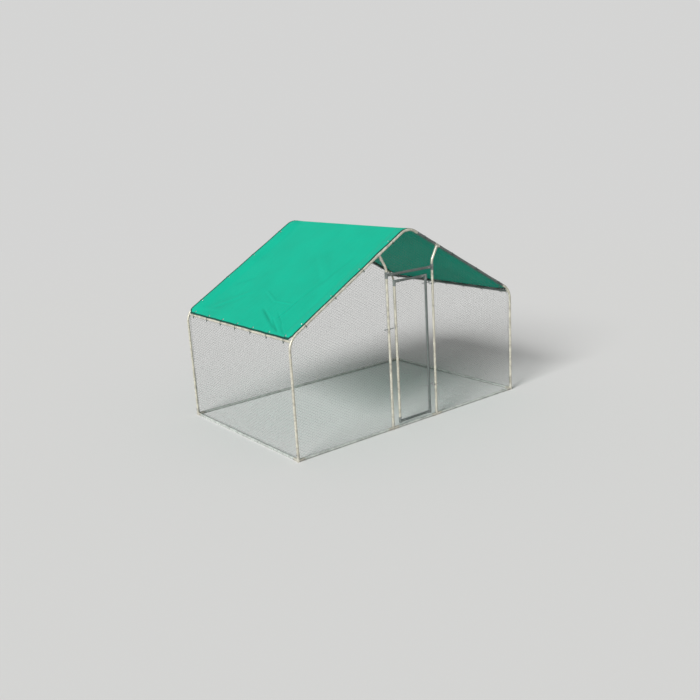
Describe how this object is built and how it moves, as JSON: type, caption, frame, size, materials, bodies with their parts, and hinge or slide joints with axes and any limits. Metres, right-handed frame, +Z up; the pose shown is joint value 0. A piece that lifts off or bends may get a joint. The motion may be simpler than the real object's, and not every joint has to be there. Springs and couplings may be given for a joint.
{
  "type": "chicken run",
  "caption": "Walk-in poultry run: gabled galvanised tube frame closed with wire netting, a sheet tied over both roof slopes, and a hinged door with a slide bolt in one gable.",
  "frame": {"origin": "Centre of the run's footprint on the ground, under the feet of the posts.", "axes": "X along the gables with the hinge side of the door at +X, Y along the eaves with the door gable at -Y, Z up."},
  "size_m": [3.0096, 2.0091, 2.0084],
  "materials": {
    "galvanised_tube": "satin",
    "cast_fitting": "satin",
    "zinc_fastener": "satin",
    "netting_wire": "satin",
    "eyelet_metal": "satin",
    "cover_sheet": "matte",
    "tie_cord": "matte"
  },
  "bodies": {
    "frame": {"base_corner_front_left": "cast_fitting", "base_corner_front_right": "cast_fitting", "base_corner_back_left": "cast_fitting", "base_corner_back_right": "cast_fitting", "post_front_left": "galvanised_tube", "post_front_right": "galvanised_tube", "post_back_left": "galvanised_tube", "post_back_right": "galvanised_tube", "eave_elbow_front_left": "galvanised_tube", "eave_elbow_front_right": "galvanised_tube", "eave_elbow_back_left": "galvanised_tube", "eave_elbow_back_right": "galvanised_tube", "ridge_elbow_front": "galvanised_tube", "ridge_elbow_back": "galvanised_tube", "rafter_front_left": "galvanised_tube", "rafter_front_right": "galvanised_tube", "rafter_back_left": "galvanised_tube", "rafter_back_right": "galvanised_tube", "eave_rail_left": "galvanised_tube", "eave_rail_right": "galvanised_tube", "ridge_rail": "galvanised_tube", "ground_rail_left": "galvanised_tube", "ground_rail_right": "galvanised_tube", "ground_rail_back": "galvanised_tube", "ground_rail_front_left": "galvanised_tube", "ground_rail_front_right": "galvanised_tube", "threshold_rail": "galvanised_tube", "door_base_tees": "cast_fitting", "door_post_left": "galvanised_tube", "door_post_right": "galvanised_tube", "lintel_tees": "cast_fitting", "lintel": "galvanised_tube", "rafter_tees": "cast_fitting", "hinge_pintle_low": "zinc_fastener", "hinge_pintle_high": "zinc_fastener", "pintle_nuts": "zinc_fastener", "frame_screws": "zinc_fastener", "roof_cover": "cover_sheet", "cover_eyelets": "eyelet_metal", "cover_ties": "tie_cord", "net_left": "netting_wire", "net_right": "netting_wire", "net_back": "netting_wire", "net_front_left": "netting_wire", "net_front_right": "netting_wire", "net_over_door": "netting_wire"},
    "door": {"hinge_stile": "galvanised_tube", "latch_stile": "zinc_fastener", "leaf_top_rail": "galvanised_tube", "leaf_bottom_rail": "galvanised_tube", "leaf_corners": "cast_fitting", "leaf_screws": "zinc_fastener", "hinge_eye_low": "zinc_fastener", "hinge_eye_high": "zinc_fastener", "eye_nuts": "zinc_fastener", "net_door": "netting_wire"},
    "latch": {"latch_bolt": "zinc_fastener", "latch_collar": "zinc_fastener"}
  },
  "joints": [
    {"name": "door_swing", "type": "hinge", "parent": "frame", "child": "door", "pos_m": [0.2575, -0.985, 0.3398], "axis": [0, 0, 1], "range_deg": [-110, 110]},
    {"name": "bolt_slide", "type": "slide", "parent": "frame", "child": "latch", "axis": [1, 0, 0], "range_m": [0, 0.03]}
  ]
}
